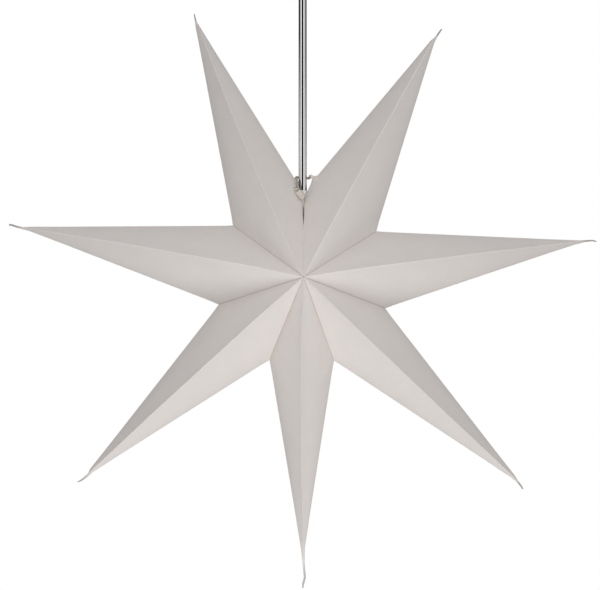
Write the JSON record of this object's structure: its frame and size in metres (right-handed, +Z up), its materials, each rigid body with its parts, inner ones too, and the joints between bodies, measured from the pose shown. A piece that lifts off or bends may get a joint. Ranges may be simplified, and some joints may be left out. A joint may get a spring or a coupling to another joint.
{
  "type": "paper star lantern",
  "caption": "Folded paper star lantern with pinched tips, tied with string round a rigid chrome stem that swings from a ceiling canopy on a gimbal, with a screw lamp inside.",
  "frame": {"origin": "middle of the ceiling bracket's screw slots, on its face against the ceiling", "axes": "+Z up into the ceiling, -Y out of the star's front, +X to the right seen from the front"},
  "size_m": [0.6953, 0.18, 0.796],
  "materials": {
    "paper": "matt white folded card, fine fibres",
    "cotton": "undyed twisted cotton string",
    "chrome": "polished chrome plate",
    "steel": "zinc plated steel",
    "white_plastic": "moulded, satin",
    "lead_sheath": "soft white sheath",
    "core_insulation": "insulated wire",
    "holder_ceramic": "unglazed",
    "brass": "bright pressed brass",
    "nickel": "nickel plated",
    "black_insulator": "black glassy",
    "lamp_plastic": "moulded white",
    "lamp_glass": "clear glass",
    "filament": "coated filament"
  },
  "bodies": {
    "ceiling_set": {"ceiling_bracket": "steel", "bracket_nut": "steel", "canopy": "chrome", "canopy_screws": "chrome", "wire_connector": "white_plastic", "connector_screws": "steel", "ceiling_lead": "lead_sheath", "upper_yoke": "chrome", "upper_pins": "chrome"},
    "gimbal": {"gimbal_ring": "chrome"},
    "hanging_stem": {"lower_yoke": "chrome", "lower_pins": "chrome", "grub_screws": "steel", "stem": "chrome", "stem_lead": "lead_sheath", "lead_cores": "core_insulation", "holder_cap": "white_plastic", "holder_shell": "white_plastic", "holder_insert": "holder_ceramic", "holder_screw_contact": "brass", "holder_middle_contact": "brass"},
    "star": {"star_point_upper_right": "paper", "star_point_right": "paper", "star_point_lower_right": "paper", "star_point_bottom": "paper", "star_point_lower_left": "paper", "star_point_left": "paper", "star_point_upper_left": "paper", "tie_string_left": "cotton", "tie_string_right": "cotton", "tie_knot": "cotton", "tie_stops": "cotton"},
    "lamp": {"lamp_contact": "brass", "lamp_insulator": "black_insulator", "lamp_screw_cap": "nickel", "lamp_collar": "lamp_plastic", "lamp_glass": "lamp_glass", "lamp_carrier": "lamp_glass", "lamp_filaments": "filament"}
  },
  "joints": [
    {"name": "swing_sideways", "type": "hinge", "parent": "ceiling_set", "child": "gimbal", "pos_m": [0, 0, -0.036], "axis": [0, 1, 0], "range_deg": [-12, 12]},
    {"name": "swing_forwards", "type": "hinge", "parent": "gimbal", "child": "hanging_stem", "pos_m": [0, 0, -0.036], "axis": [1, 0, 0], "range_deg": [-12, 12]},
    {"name": "star_turn", "type": "hinge", "parent": "hanging_stem", "child": "star", "pos_m": [0, 0, -0.43], "axis": [0, 0, 1], "continuous": true},
    {"name": "lamp_unscrew", "type": "hinge", "parent": "hanging_stem", "child": "lamp", "pos_m": [0, 0, -0.43], "axis": [0, 0, 1], "range_deg": [-1080, 0]}
  ]
}
